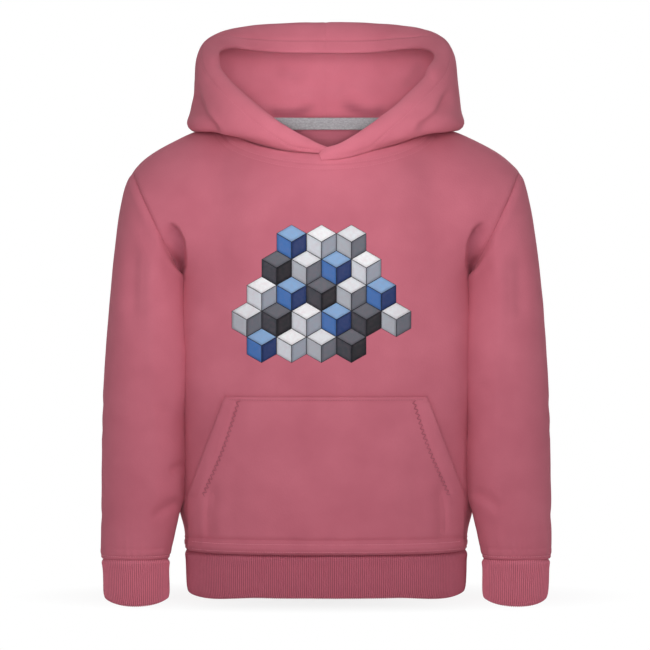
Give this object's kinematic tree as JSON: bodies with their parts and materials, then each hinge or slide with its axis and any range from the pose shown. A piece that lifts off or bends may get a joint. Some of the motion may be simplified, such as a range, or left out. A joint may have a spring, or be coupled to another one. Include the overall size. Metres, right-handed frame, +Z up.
{
  "type": "hooded sweatshirt",
  "caption": "Child's pullover hooded sweatshirt in its worn shape, with long set-in sleeves, a lapped two-layer hood, a kangaroo pocket, and rib cuffs and waistband.",
  "frame": {"origin": "on the wearer's centre line, level with the side neck points, where the shoulders carry the garment", "axes": "+Z up, -Y out of the front, +X to the wearer's left"},
  "size_m": [0.49, 0.222, 0.6454],
  "materials": {
    "fleece": "matt brushed-back sweatshirt jersey",
    "hood_lining": "matt jersey",
    "rib_knit": "matt elastic rib knit",
    "neck_tape": "matt heather grey tape"
  },
  "bodies": {
    "root": {"front_panel": "fleece", "back_panel": "fleece", "sleeve_left": "fleece", "sleeve_right": "fleece", "cuff_left": "rib_knit", "cuff_right": "rib_knit", "waistband": "rib_knit", "hood_shell_left": "fleece", "hood_shell_right": "fleece", "hood_lining_left": "hood_lining", "hood_lining_right": "hood_lining", "kangaroo_pocket": "fleece", "neck_tape": "neck_tape"}
  },
  "joints": []
}
